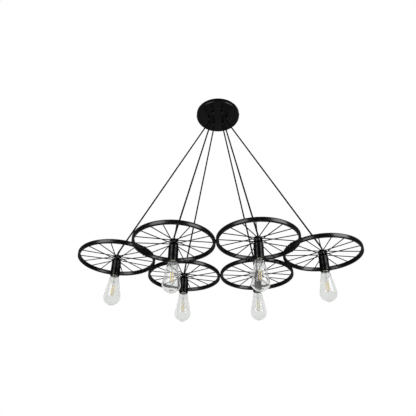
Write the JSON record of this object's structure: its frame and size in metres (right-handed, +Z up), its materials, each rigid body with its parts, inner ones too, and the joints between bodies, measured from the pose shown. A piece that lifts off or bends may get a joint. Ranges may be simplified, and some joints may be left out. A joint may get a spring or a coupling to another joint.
{
  "type": "pendant light",
  "caption": "Pendant light with a cluster of spoked wheel frames hung on cords from a round canopy, each with a bare bulb below its hub.",
  "frame": {"origin": "middle of the canopy on the ceiling plane", "axes": "+Z up, out of the top of the bracket; +X along the row of wheels"},
  "size_m": [1.0979, 0.601, 0.9654],
  "materials": {
    "black_paint": "satin powder coat",
    "zinc_steel": "zinc plated",
    "black_plastic": "moulded",
    "black_bolt": "black oxide",
    "black_ceramic": "glazed",
    "black_cord": "matt sheath",
    "clear_glass": "clear",
    "cap_brass": "pressed",
    "filament_glass": "coated filaments on a glass stem"
  },
  "bodies": {
    "canopy": {"canopy": "black_paint", "mounting_bracket": "zinc_steel", "canopy_screws": "black_paint", "cord_grips": "black_plastic"},
    "wheels": {"rim_bolts": "black_bolt", "rim_nuts": "black_bolt", "rim_left": "black_paint", "spokes_left": "black_paint", "hub_left": "black_paint", "holder_left": "black_paint", "socket_left": "black_ceramic", "cord_left": "black_cord", "rim_near_left": "black_paint", "spokes_near_left": "black_paint", "hub_near_left": "black_paint", "holder_near_left": "black_paint", "socket_near_left": "black_ceramic", "cord_near_left": "black_cord", "rim_far_left": "black_paint", "spokes_far_left": "black_paint", "hub_far_left": "black_paint", "holder_far_left": "black_paint", "socket_far_left": "black_ceramic", "cord_far_left": "black_cord", "rim_far_right": "black_paint", "spokes_far_right": "black_paint", "hub_far_right": "black_paint", "holder_far_right": "black_paint", "socket_far_right": "black_ceramic", "cord_far_right": "black_cord", "rim_near_right": "black_paint", "spokes_near_right": "black_paint", "hub_near_right": "black_paint", "holder_near_right": "black_paint", "socket_near_right": "black_ceramic", "cord_near_right": "black_cord", "rim_right": "black_paint", "spokes_right": "black_paint", "hub_right": "black_paint", "holder_right": "black_paint", "socket_right": "black_ceramic", "cord_right": "black_cord"},
    "bulb_left": {"bulb_left_glass": "clear_glass", "bulb_left_cap": "cap_brass", "bulb_left_filament": "filament_glass"},
    "bulb_near_left": {"bulb_near_left_glass": "clear_glass", "bulb_near_left_cap": "cap_brass", "bulb_near_left_filament": "filament_glass"},
    "bulb_far_left": {"bulb_far_left_glass": "clear_glass", "bulb_far_left_cap": "cap_brass", "bulb_far_left_filament": "filament_glass"},
    "bulb_far_right": {"bulb_far_right_glass": "clear_glass", "bulb_far_right_cap": "cap_brass", "bulb_far_right_filament": "filament_glass"},
    "bulb_near_right": {"bulb_near_right_glass": "clear_glass", "bulb_near_right_cap": "cap_brass", "bulb_near_right_filament": "filament_glass"},
    "bulb_right": {"bulb_right_glass": "clear_glass", "bulb_right_cap": "cap_brass", "bulb_right_filament": "filament_glass"}
  },
  "joints": [
    {"name": "swing", "type": "hinge", "parent": "canopy", "child": "wheels", "pos_m": [0, 0, -0.042], "axis": [1, 0, 0], "range_deg": [-8, 8], "deforming": ["cord_left", "cord_near_left", "cord_far_left", "cord_far_right", "cord_near_right", "cord_right"]},
    {"name": "bulb_left_out", "type": "slide", "parent": "wheels", "child": "bulb_left", "axis": [0, 0, -1], "range_m": [0, 0.04]},
    {"name": "bulb_near_left_out", "type": "slide", "parent": "wheels", "child": "bulb_near_left", "axis": [0, 0, -1], "range_m": [0, 0.04]},
    {"name": "bulb_far_left_out", "type": "slide", "parent": "wheels", "child": "bulb_far_left", "axis": [0, 0, -1], "range_m": [0, 0.04]},
    {"name": "bulb_far_right_out", "type": "slide", "parent": "wheels", "child": "bulb_far_right", "axis": [0, 0, -1], "range_m": [0, 0.04]},
    {"name": "bulb_near_right_out", "type": "slide", "parent": "wheels", "child": "bulb_near_right", "axis": [0, 0, -1], "range_m": [0, 0.04]},
    {"name": "bulb_right_out", "type": "slide", "parent": "wheels", "child": "bulb_right", "axis": [0, 0, -1], "range_m": [0, 0.04]}
  ]
}
